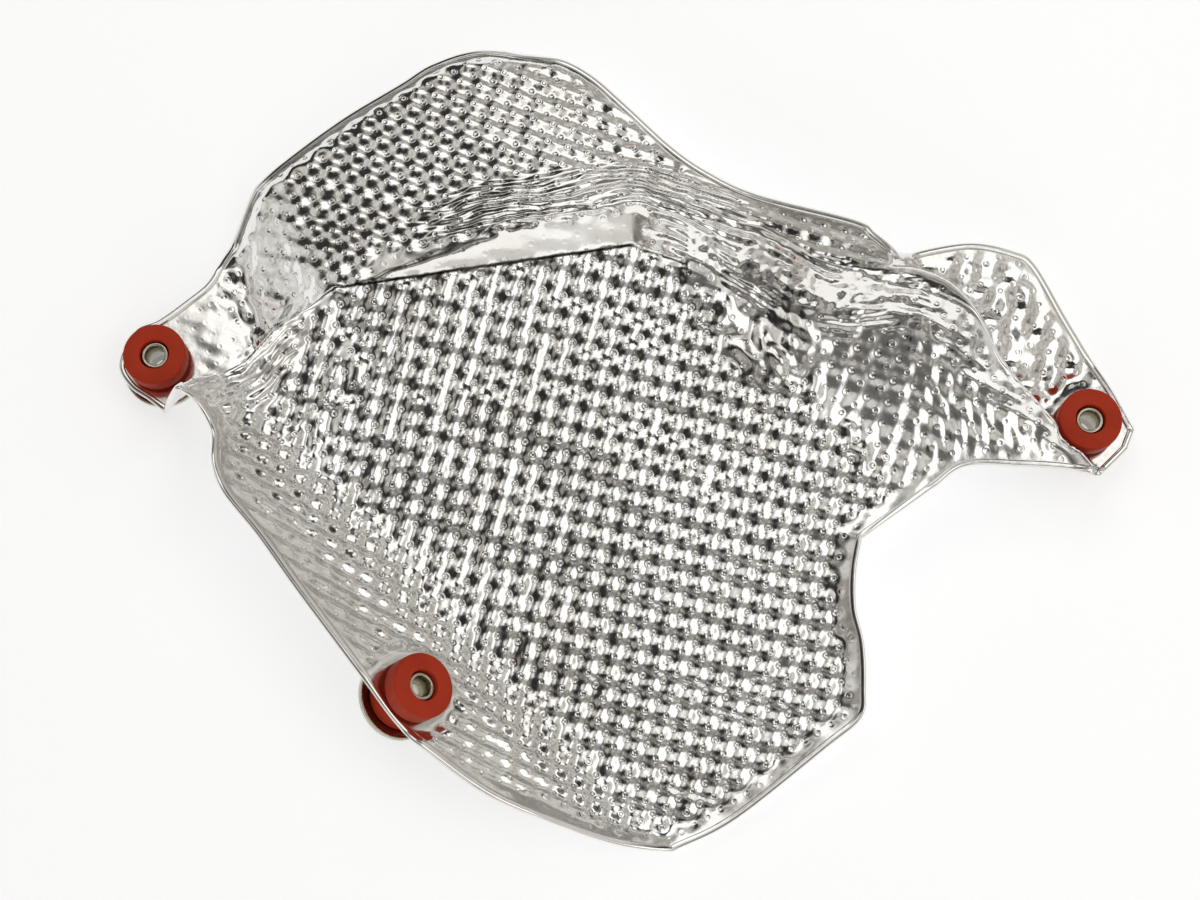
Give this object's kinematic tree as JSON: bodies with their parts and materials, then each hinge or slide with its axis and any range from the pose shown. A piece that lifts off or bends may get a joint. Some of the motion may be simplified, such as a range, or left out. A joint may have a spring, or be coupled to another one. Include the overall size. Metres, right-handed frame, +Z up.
{
  "type": "engine bay heat shield",
  "caption": "Embossed aluminium heat shield for a car engine bay, pressed into a bowl with a raised lobe and bolting tabs, on red rubber grommets with flanged steel sleeves",
  "frame": {"origin": "on the plane the shield lies on, under the middle of the whole part seen from above; the plane is the underside of the two side sleeves' flanges and touches the low edge of the bowl", "axes": "+X along the length from the left tab to the right tab, +Y across from the low edge of the bowl to the top of the lobe, +Z up out of the bowl"},
  "size_m": [0.3502, 0.274, 0.0515],
  "materials": {
    "embossed_aluminium": "bright rolled and embossed, smooth where it is bent",
    "red_rubber": "matt brick red",
    "plated_steel": "zinc plated, dull yellow grey"
  },
  "bodies": {
    "root": {"shield": "embossed_aluminium", "grommet_left": "red_rubber", "grommet_right": "red_rubber", "grommet_lower": "red_rubber", "sleeve_left": "plated_steel", "sleeve_right": "plated_steel", "sleeve_lower": "plated_steel"}
  },
  "joints": []
}
